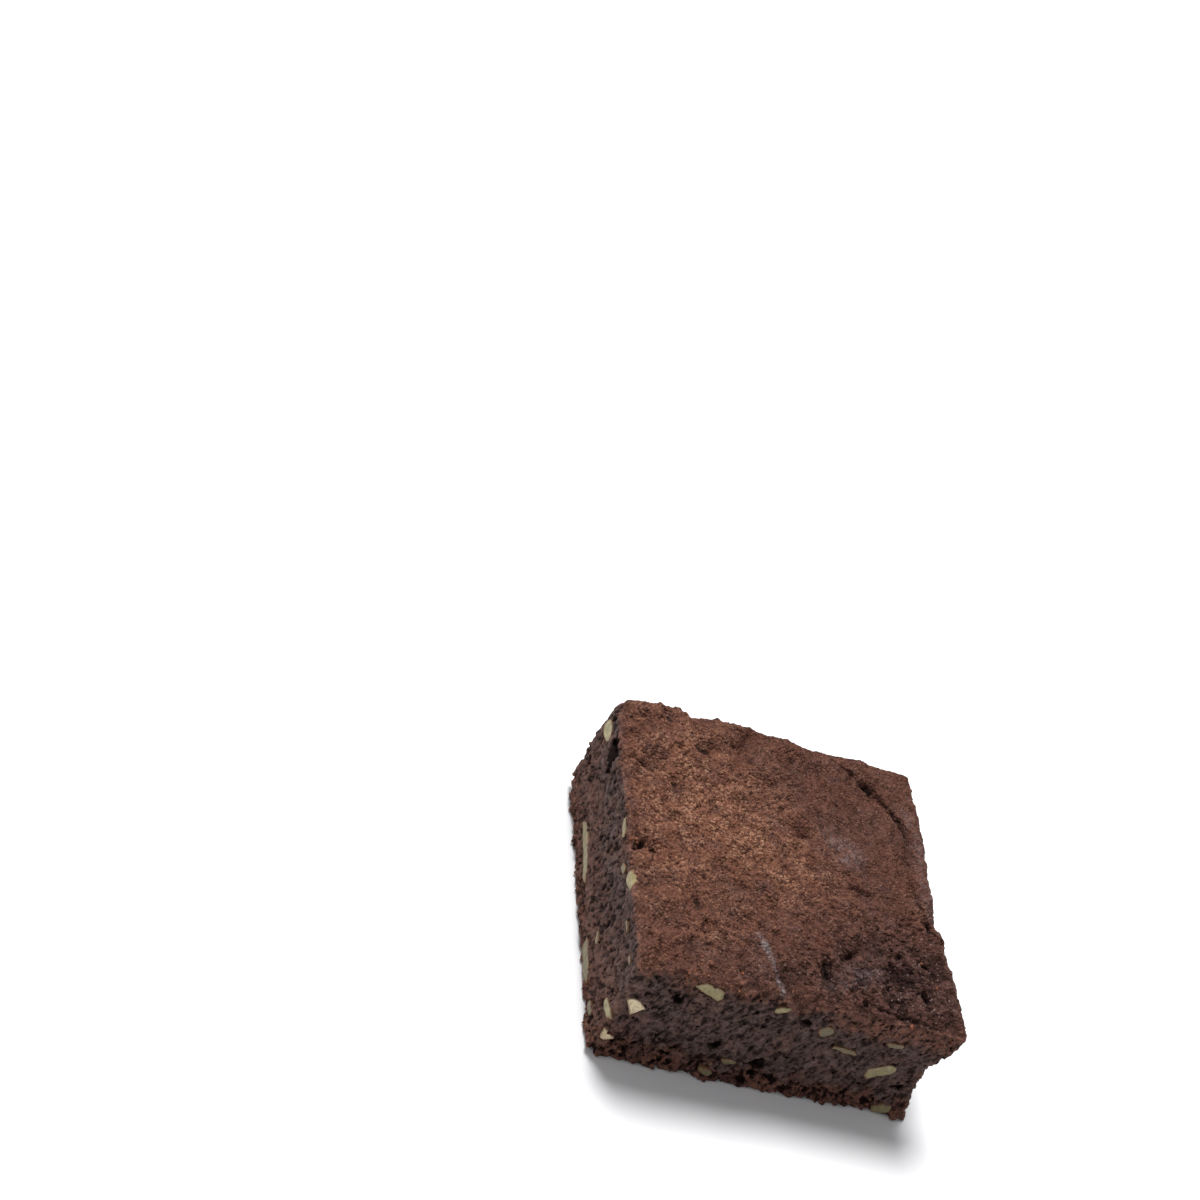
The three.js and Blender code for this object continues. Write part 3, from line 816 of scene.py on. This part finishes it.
class Shader:
    """Builds a material's node tree, one short call for each node."""

    def __init__(self, name):
        self.material = bpy.data.materials.new(name)
        self.material.use_nodes = True
        self.tree = self.material.node_tree
        self.tree.nodes.clear()
        self.place = self.add("ShaderNodeTexCoord").outputs["Object"]

    def add(self, kind, inputs=None, **settings):
        node = self.tree.nodes.new(kind)
        for name, value in settings.items():
            setattr(node, name, value)
        for name, value in (inputs or {}).items():
            self.set(node.inputs[name], value)
        return node

    def set(self, socket, value):
        if isinstance(value, bpy.types.NodeSocket):
            self.tree.links.new(value, socket)
        else:
            socket.default_value = value

    def vector_math(self, operation, inputs):
        return self.add("ShaderNodeVectorMath", inputs, operation=operation)

    def noise(self, size, detail=2.0, roughness=0.5, offset=0.0, place=None):
        """Noise from 0 to 1 with features of about this size in millimetres."""
        place = place or self.place
        if offset:
            place = self.vector_math("ADD", {0: place, 1: (offset, offset, offset)}).outputs[0]
        inputs = {"Vector": place, "Scale": 1 / (size * METRES)}
        inputs.update({"Detail": detail, "Roughness": roughness})
        return self.add("ShaderNodeTexNoise", inputs).outputs["Fac"]

    def slanted_place(self, stretch):
        """The place, so squeezed that what is drawn with it is longer along the grain."""
        grain = Vector(GRAIN).normalized()
        dot = self.vector_math("DOT_PRODUCT", {0: self.place, 1: grain}).outputs["Value"]
        ahead = self.times(dot, 1 - 1 / stretch)
        along = self.vector_math("SCALE", {0: grain, "Scale": ahead}).outputs[0]
        return self.vector_math("SUBTRACT", {0: self.place, 1: along}).outputs[0]

    def grains(self, size, place=None):
        """Packed grains of this size: distance from each one's middle, and its random tone."""
        inputs = {"Vector": place or self.place, "Scale": 1 / (size * METRES)}
        cells = self.add("ShaderNodeTexVoronoi", inputs)
        tone = self.add("ShaderNodeSeparateColor", {0: cells.outputs["Color"]}).outputs[0]
        return cells.outputs["Distance"], tone

    def value(self, name):
        return self.add("ShaderNodeAttribute", attribute_name=name).outputs["Fac"]

    def math(self, operation, first, second):
        inputs = {0: first, 1: second}
        return self.add("ShaderNodeMath", inputs, operation=operation).outputs[0]

    def times(self, first, second):
        return self.math("MULTIPLY", first, second)

    def step(self, value, low, high):
        """0 at low, 1 at high and smooth between."""
        inputs = {"Value": value, "From Min": low, "From Max": high}
        return self.add("ShaderNodeMapRange", inputs, interpolation_type="SMOOTHSTEP").outputs[0]

    def mix(self, share, first, second, blend="MIX"):
        node = self.add("ShaderNodeMix", data_type="RGBA", blend_type=blend)
        self.set(node.inputs[0], share)
        self.set(node.inputs[6], self.colour(first))
        self.set(node.inputs[7], self.colour(second))
        return node.outputs[2]

    def colour(self, value):
        if isinstance(value, tuple) and len(value) == 3:
            return (*value, 1.0)
        return value

    def bump(self, height, distance, normal=None, strength=1.0):
        inputs = {"Height": height, "Distance": distance * METRES, "Strength": strength}
        node = self.add("ShaderNodeBump", inputs)
        if normal is not None:
            self.set(node.inputs["Normal"], normal)
        return node.outputs[0]

    def finish(self, colour, roughness, normal, specular=0.3):
        inputs = {
            "Base Color": self.colour(colour),
            "Roughness": roughness,
            "Specular IOR Level": specular,
            "Normal": normal,
        }
        surface = self.add("ShaderNodeBsdfPrincipled", inputs)
        output = self.add("ShaderNodeOutputMaterial")
        self.tree.links.new(surface.outputs[0], output.inputs["Surface"])
        return self.material


def crumb_colour(s, fractal, mottle, small_tone, tears, tear, pore):
    """The cut crumb: dark, with slanted tears and fine pores painted nearly black as shade, paler
    specks and ruddy stretches.
    """
    ruddy = s.value("ruddy")
    ridge = s.step(tears, 0.53, 0.66)
    crumb = s.mix(s.step(fractal, 0.25, 0.75), (0.05, 0.031, 0.027), (0.135, 0.087, 0.076))
    crumb = s.mix(s.times(ridge, 0.5), crumb, (0.2, 0.137, 0.118))
    red = s.mix(s.step(fractal, 0.3, 0.68), (0.07, 0.031, 0.024), (0.218, 0.1, 0.073))
    red = s.mix(s.times(ridge, 0.55), red, (0.29, 0.13, 0.087))
    crumb = s.mix(s.times(s.step(mottle, 0.45, 0.65), 0.3), crumb, red)
    crumb = s.mix(ruddy, crumb, red)
    specks = s.times(s.step(small_tone, 0.86, 0.97), 0.5)
    crumb = s.mix(specks, crumb, s.mix(ruddy, (0.17, 0.115, 0.095), (0.4, 0.13, 0.06)))
    # Painted shade: the tears and pores are darkened nearly to black, as shade in their hollows.
    crumb = s.mix(s.times(tear, 0.8), crumb, (0.014, 0.008, 0.007))
    return s.mix(s.times(pore, 0.9), crumb, (0.01, 0.006, 0.005))


def crust_colour(s, fractal, mottle, grain_tone, small_tone):
    """The baked crust: toasted and speckled with paler grains and painted glints where warm;
    elsewhere duller and darker, partly as painted shade.
    """
    warm = s.value("warm")
    shade = s.value("shade")
    pit = s.value("pit")
    blotch = s.noise(3.6, 4.0, 0.65, 1.7)
    plain = s.mix(s.step(fractal, 0.3, 0.7), (0.068, 0.026, 0.017), (0.16, 0.066, 0.046))
    toasted = s.mix(s.step(fractal, 0.3, 0.68), (0.085, 0.031, 0.018), (0.27, 0.113, 0.07))
    crust = s.mix(warm, plain, toasted)
    orange = s.times(s.step(blotch, 0.5, 0.68), s.times(warm, 0.5))
    crust = s.mix(orange, crust, (0.22, 0.088, 0.045))
    grey = s.times(s.step(blotch, 0.48, 0.34), 0.45)
    crust = s.mix(grey, crust, (0.105, 0.056, 0.052))
    patches = s.times(warm, s.step(mottle, 0.36, 0.58))
    # Paler grains, lightened further as painted glints.
    glints = s.times(s.step(grain_tone, 0.55, 0.95), s.math("ADD", patches, 0.12))
    crust = s.mix(s.times(glints, 0.65), crust, (0.42, 0.22, 0.14))
    # Finer paler grains, also lightened as painted glints.
    glints = s.times(s.step(small_tone, 0.8, 0.96), s.math("ADD", patches, 0.2))
    crust = s.mix(s.times(glints, 0.6), crust, (0.5, 0.28, 0.18))
    # Darker grains, also darkened as painted shade between the grains.
    shadows = s.times(s.step(grain_tone, 0.38, 0.1), 0.55)
    crust = s.mix(shadows, crust, (0.035, 0.015, 0.011))

    # The duller stretches, darkened partly as painted shade: darker in their dips as painted
    # shade, paler on their knobs as painted highlights, with a few painted glints as sparks.
    # Painted shade: the duller colour also darkens these stretches as shade.
    dull_and_shaded = s.mix(s.step(fractal, 0.32, 0.68), (0.02, 0.009, 0.008), (0.14, 0.074, 0.063))
    crust = s.mix(s.times(shade, 0.8), crust, dull_and_shaded)
    # Painted shade in the dips of the duller stretches.
    valley_shade = s.times(s.step(pit, -0.05, 0.6), shade)
    crust = s.mix(s.times(valley_shade, 0.85), crust, (0.014, 0.006, 0.005))
    # Painted highlight on the knobs of the duller stretches.
    knob_highlight = s.times(s.step(pit, 0.0, -0.4), shade)
    crust = s.mix(s.times(knob_highlight, 0.5), crust, (0.2, 0.108, 0.09))
    # A few painted glints as bright sparks on the duller stretches.
    spark_glints = s.times(s.step(small_tone, 0.94, 0.98), shade)
    crust = s.mix(s.times(spark_glints, 0.5), crust, (0.4, 0.28, 0.26))
    # Pale haze of fat bloom, which along the raised rim is partly a painted highlight.
    haze = s.times(s.value("bloom_and_highlight"), s.step(s.noise(1.3, 4.0, 0.75, 0.7), 0.4, 0.65))
    return s.mix(haze, crust, (0.34, 0.29, 0.3))


def brownie_material():
    """Crust and crumb in one, as each point's values say."""
    s = Shader("brownie")
    crusty = s.value("crusty")
    cut = s.math("SUBTRACT", 1.0, crusty)
    fractal = s.noise(2.2, 7.0, 0.82)
    fine = s.noise(0.5, 3.0, 0.65, 0.31)
    mottle = s.noise(4.0, 3.0, 0.6, 0.9)
    grain_edge, grain_tone = s.grains(0.5)
    small_tone = s.grains(0.3)[1]
    tears = s.noise(1.1, 6.0, 0.72, 0.0, s.slanted_place(2.4))
    tear = s.times(s.step(tears, 0.47, 0.37), cut)
    pore_edge, pore_tone = s.grains(0.95, s.slanted_place(1.7))
    pore = s.times(s.step(pore_edge, 0.32, 0.2), s.step(pore_tone, 0.35, 0.45))
    open_share = s.math("ADD", s.times(s.value("ruddy"), 0.4), 0.6)
    pore = s.times(pore, s.times(cut, open_share))

    crumb = crumb_colour(s, fractal, mottle, small_tone, tears, tear, pore)
    crust = crust_colour(s, fractal, mottle, grain_tone, small_tone)
    colour = s.mix(crusty, crumb, crust)
    # Painted shade: the colour goes near-black where a point lies deep below the plain surface, in
    # pits, cracks and hollows, less so on the crust.
    deep = s.math("ADD", s.value("pit"), s.times(crusty, -0.6))
    colour = s.mix(s.times(s.step(deep, 0.25, 0.8), 0.85), colour, (0.014, 0.008, 0.007))

    swell = s.times(fractal, s.math("ADD", s.times(crusty, 0.45), 0.4))
    normal = s.bump(swell, 0.8)
    normal = s.bump(fine, 0.2, normal)
    rise = s.times(grain_edge, s.math("SUBTRACT", s.times(crusty, -0.7), 0.3))
    normal = s.bump(rise, 0.4, normal)
    normal = s.bump(s.times(tear, -1.0), 0.35, normal)
    normal = s.bump(s.times(pore, -1.0), 0.3, normal)
    return s.finish(colour, 0.75, normal, 0.08)


def loose_crumb_material():
    s = Shader("loose_crumb")
    tone = s.value("tone")
    fractal = s.noise(0.5, 3.0, 0.7)
    dark = s.mix(s.step(fractal, 0.35, 0.65), (0.03, 0.016, 0.012), (0.08, 0.045, 0.035))
    red = s.mix(s.step(fractal, 0.35, 0.65), (0.1, 0.035, 0.02), (0.36, 0.12, 0.055))
    return s.finish(s.mix(tone, dark, red), 0.7, s.bump(fractal, 0.2), 0.2)


def walnut_material():
    s = Shader("walnut")
    from_edge = s.value("from_edge")
    inward = s.value("inward")
    tone = s.value("tone")
    fibre = s.noise(1.0, 4.0, 0.6)
    fleck = s.noise(0.4, 3.0, 0.7, 0.2)
    flesh = s.mix(s.step(fibre, 0.35, 0.7), (0.3, 0.25, 0.11), (0.54, 0.46, 0.225))
    colour = s.mix(s.step(tone, 0.2, 1.0), (0.125, 0.1, 0.05), flesh)
    fresh = s.mix(s.step(fibre, 0.3, 0.7), (0.55, 0.43, 0.25), (0.8, 0.68, 0.46))
    colour = s.mix(s.step(tone, 0.75, 1.0), colour, fresh)
    skin = s.mix(s.step(fleck, 0.4, 0.65), (0.1, 0.045, 0.02), (0.3, 0.14, 0.06))
    rim = s.times(s.step(from_edge, 0.55, 0.05), s.step(fibre, 0.4, 0.56))
    colour = s.mix(s.times(rim, 0.85), colour, skin)
    colour = s.mix(s.times(s.step(from_edge, 0.22, 0.0), 0.6), colour, skin)
    colour = s.mix(s.step(inward, 0.35, 0.8), colour, skin)
    smear = s.times(s.step(fleck, 0.58, 0.68), 0.7)
    colour = s.mix(smear, colour, (0.08, 0.045, 0.03))
    normal = s.bump(fibre, 0.2)
    normal = s.bump(fleck, 0.1, normal)
    return s.finish(colour, 0.5, normal, 0.35)


# The pale haze of fat bloom on the crust, which along the raised rim is partly a painted
# highlight: paths, half width and strength.
BLOOM_AND_HIGHLIGHT_MARKS = [
    ([(-8.6, -19.8), (-7.0, -22.4), (-6.4, -25.4), (-5.3, -28.6), (-5.0, -32.0)], 0.65, 0.85),
    ([(11.0, 9.0), (14.5, 6.5), (13.0, 3.5)], 2.4, 0.3),
    ([(8.0, -26.5), (11.0, -24.0), (14.0, -22.0)], 2.6, 0.22),
    # Along the raised rim: partly a painted highlight.
    ([(29.0, 22.0), (30.0, 14.0), (29.4, 5.0), (30.0, -4.0)], 1.7, 0.2),
]


def bloom_and_highlight_share(x, y):
    """From 0 to 1, how strong the haze is at each place."""
    total = np.zeros_like(x)
    for path, width, strength in BLOOM_AND_HIGHLIGHT_MARKS:
        distance = np.abs(path_distance(x, y, path))
        total = np.maximum(total, strength * np.exp(-((distance / width) ** 2)))
    return total


# Where the crust is toasted, and where it is duller and darker, partly as painted shade: x, y,
# half sizes, turn in degrees, strength.
TOASTED_PATCHES = [
    (-16, 10, 17, 17, 30, 0.9),
    (-26, -6, 9, 12, 0, 0.5),
    (0, -2, 14, 9, -20, 0.5),
    (-20, 30, 10, 8, 0, 0.3),
    (-19.5, 21.8, 3.6, 1.8, 50, 0.6),
    (-18, -23, 14, 9, 0, 0.35),
]
# These duller, darker stretches are partly painted shade.
DULL_AND_SHADED_PATCHES = [
    (22, -24, 16, 13, 0, 1.0),
    (-8, -28, 16, 7, 0, 0.5),
    (19, 12, 12, 16, 0, 0.35),
    (4, 24, 9, 5, 0, 0.25),
]

# Crumbly orange-brown spots: middle, radius and strength.
RUDDY_SPOTS = [
    ((-32, -3.0, 25.5), 3.2, 0.95),
    ((-33, 16.8, 25.8), 2.4, 0.8),
    ((-2.4, 20.8, 26.6), 1.6, 0.95),
    ((30, -33, 22.5), 3.5, 0.7),
    ((32, -33, 11.0), 4.0, 0.7),
    ((-32, -33, 5.0), 5.0, 0.6),
    ((-22, -33.6, 26.2), 4.5, 0.8),
    ((-12, -33.6, 24.8), 3.0, 0.5),
    ((20.4, 27.0, 27.0), 1.3, 0.7),
    ((26.2, 19.0, 27.0), 1.9, 0.75),
]


def near_ruddy_spot(points, tightness=1.0):
    """From 0 to 1, how near each point is to a ruddy spot."""
    total = np.zeros(len(points))
    for middle, radius, strength in RUDDY_SPOTS:
        away = tightness * np.linalg.norm(points - middle, axis=1) / radius
        total = np.maximum(total, strength * np.exp(-(away**2)))
    return total


def patch_share(x, y, patches):
    """From 0 to 1, how much each place belongs to the patches."""
    total = np.zeros_like(x)
    for *patch, strength in patches:
        total = total + strength * turned_bump(x, y, *patch)
    return np.clip(total, 0, 1)


def point_values(fields, points):
    """What the material reads at each point of the crust or the crumb."""
    x, y, z = points.T
    names = ("plain", "depth", "below_top", "broad", "coarse")
    plain, depth, below_top, broad, coarse = (sample(fields[name], points) for name in names)
    crusty = smoothstep(depth - 0.8 * np.maximum(below_top, 0) + 0.12 * coarse, -0.7, 0.5)
    crusty = crusty * smoothstep(below_top, 3.4, 2.4)
    foot = smoothstep(z + 0.9 * coarse + 0.5 * broad, 7.0, 2.0)
    rind = smoothstep(below_top + 0.35 * coarse, 2.6, 1.3)
    shoulder = smoothstep(x, 2, 12) * smoothstep(-y, 29, 32)
    shoulder = shoulder * smoothstep(below_top + 0.7 * coarse, 6.5, 4.5)
    ruddy = np.maximum(0.85 * foot, np.maximum(0.8 * rind, 0.85 * shoulder))
    left_low = smoothstep(-x, 30.5, 32) * smoothstep(z + 2 * broad + coarse, 22, 8)
    ruddy = np.maximum(ruddy, 0.45 * left_low)
    ruddy = np.maximum(ruddy, near_ruddy_spot(points))
    crusty = crusty * (1 - near_ruddy_spot(points, 1.4))
    pit = -plain
    # Inside the air bubbles the pit value is raised, so that their walls are darkened as painted
    # shade.
    for centre, half in BUBBLES:
        inside = smoothstep(egg_field(points.T, centre, half), 0.9, 0.5)
        pit = np.maximum(pit, inside * smoothstep(pit, 0.1, 0.5))
    return {
        "crusty": crusty,
        "warm": np.clip(patch_share(x, y, TOASTED_PATCHES) + 0.1 * broad, 0, 1),
        # How much the crust is duller and darker, partly as painted shade.
        "shade": np.clip(patch_share(x, y, DULL_AND_SHADED_PATCHES) + 0.12 * broad, 0, 1),
        "ruddy": ruddy,
        "pit": pit,
        "bloom_and_highlight": bloom_and_highlight_share(x, y),
    }


def build_layer(name, fields, material):
    surface = surface_of(fields[name], VOXEL, GRID_CORNER, SIMPLIFYING)
    points, triangles, quads = largest_shell(*surface)
    piece = mesh_piece("brownie_" + name, points, triangles, quads)
    thin_out(piece, MOST_TRIANGLES)
    set_values(piece, point_values(fields, points_of(piece)))
    piece.data.materials.append(material)
    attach(piece, "root")
    return piece


def loose_crumbs(places_and_shares, material):
    """Small crumbs that cling to the foot, the crust's edge and the torn spots, as one piece."""
    random = np.random.default_rng(CRUMB_SEED)
    ball = bmesh.new()
    bmesh.ops.create_icosphere(ball, subdivisions=1, radius=1)
    shape = np.array([vertex.co for vertex in ball.verts])
    faces = np.array([[vertex.index for vertex in face.verts] for face in ball.faces])
    ball.free()
    points = []
    triangles = []
    tones = []
    for piece, share in places_and_shares:
        places = points_of(piece)
        ruddy = values_of(piece, "ruddy")
        spots = near_ruddy_spot(places)
        liking = (0.02 + ruddy**2) * (1 - 0.93 * values_of(piece, "crusty")) + 14 * spots**2
        liking = liking * (values_of(piece, "pit") < 0.9) * (places[:, 2] > 0.35)
        count = int(CRUMB_COUNT * share)
        for index in random.choice(len(places), count, p=liking / liking.sum()):
            size = CRUMB_LEAST + (CRUMB_MOST - CRUMB_LEAST) * random.random() ** 2.5
            half = size * random.uniform(0.6, 1.25, 3)
            turn = np.linalg.qr(random.standard_normal((3, 3)))[0]
            jitter = 1 + 0.22 * random.standard_normal((len(shape), 1))
            grain = (shape * jitter * half) @ turn + places[index]
            grain[:, 2] = np.maximum(grain[:, 2], 0.02)
            triangles.append(faces + len(shape) * len(points))
            points.append(grain)
            tone = np.clip(ruddy[index] * random.random() ** 1.6 + 0.4 * spots[index], 0, 1)
            tones.append(np.full(len(shape), tone))
    no_quads = np.empty((0, 4), int)
    piece = mesh_piece("loose_crumbs", np.concatenate(points), np.concatenate(triangles), no_quads)
    set_values(piece, {"tone": np.concatenate(tones)})
    piece.data.materials.append(material)
    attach(piece, "root")


def add_floor():
    """A pale matt floor, large enough to fill the view."""
    half = 4.0
    mesh = bpy.data.meshes.new("floor")
    corners = [(-half, -half, 0), (half, -half, 0), (half, half, 0), (-half, half, 0)]
    mesh.from_pydata(corners, [], [(0, 1, 2, 3)])
    floor = add_object("floor", mesh)
    s = Shader("floor")
    normal = s.bump(s.noise(40.0), 0.05, strength=0.2)
    floor.data.materials.append(s.finish((0.86, 0.86, 0.87), 0.6, normal, 0.2))


def add_area_light(name, place, size, power):
    data = bpy.data.lights.new(name, "AREA")
    data.shape = "DISK"
    data.size = size
    data.energy = power
    light = add_object(name, data)
    light.location = place
    light.rotation_mode = "QUATERNION"
    light.rotation_quaternion = (-Vector(place)).to_track_quat("-Z", "Y")


# The lights: name, place in metres, size and power; and the even light from all round.
LIGHTS = [
    ("key_light", (-0.08, 0.57, 1.3), 0.7, 31.0),
    ("fill_light", (-0.9, -0.3, 0.8), 0.9, 2.1),
]
SKY_COLOUR = (0.96, 0.97, 1, 1)
SKY_STRENGTH = 0.26


def light_scene():
    world = bpy.data.worlds.new("studio")
    world.use_nodes = True
    sky = world.node_tree.nodes["Background"]
    sky.inputs["Color"].default_value = SKY_COLOUR
    sky.inputs["Strength"].default_value = SKY_STRENGTH
    bpy.context.scene.world = world
    for light in LIGHTS:
        add_area_light(*light)


# The camera, in the square's own places and directions.
CAMERA_AT = (-169.01, -275.34, 297.20)
CAMERA_AHEAD = (0.29625, 0.74428, -0.59856)
CAMERA_UP = (-0.25218, 0.66541, 0.70259)
CAMERA_LENS = 66.0


def add_camera():
    data = bpy.data.cameras.new("camera")
    data.lens = CAMERA_LENS
    data.sensor_width = 36.0
    data.clip_start = 0.01
    ahead = Vector(CAMERA_AHEAD).normalized()
    right = ahead.cross(Vector(CAMERA_UP)).normalized()
    up = right.cross(ahead)
    turn = Matrix((right, up, -ahead)).transposed()
    camera = add_object("camera", data)
    camera.matrix_world = Matrix.Translation(to_metres(CAMERA_AT)) @ turn.to_4x4()
    bpy.context.scene.camera = camera


def main():
    add_camera()
    light_scene()
    add_floor()
    nuts = read_nuts()
    fields = build_body_fields(nuts)
    brownie = brownie_material()
    crust = build_layer("crust", fields, brownie)
    front = build_layer("crumb_front", fields, brownie)
    back = build_layer("crumb_back", fields, brownie)
    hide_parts("crumb")
    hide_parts("crumb")
    loose_crumbs([(front, 0.4), (back, 0.35), (crust, 0.25)], loose_crumb_material())
    walnut = walnut_material()
    for nut in nuts:
        build_nut(nut, fields, walnut)
    scene = bpy.context.scene
    scene.view_settings.view_transform = "Standard"
    scene.view_settings.look = "None"


main()
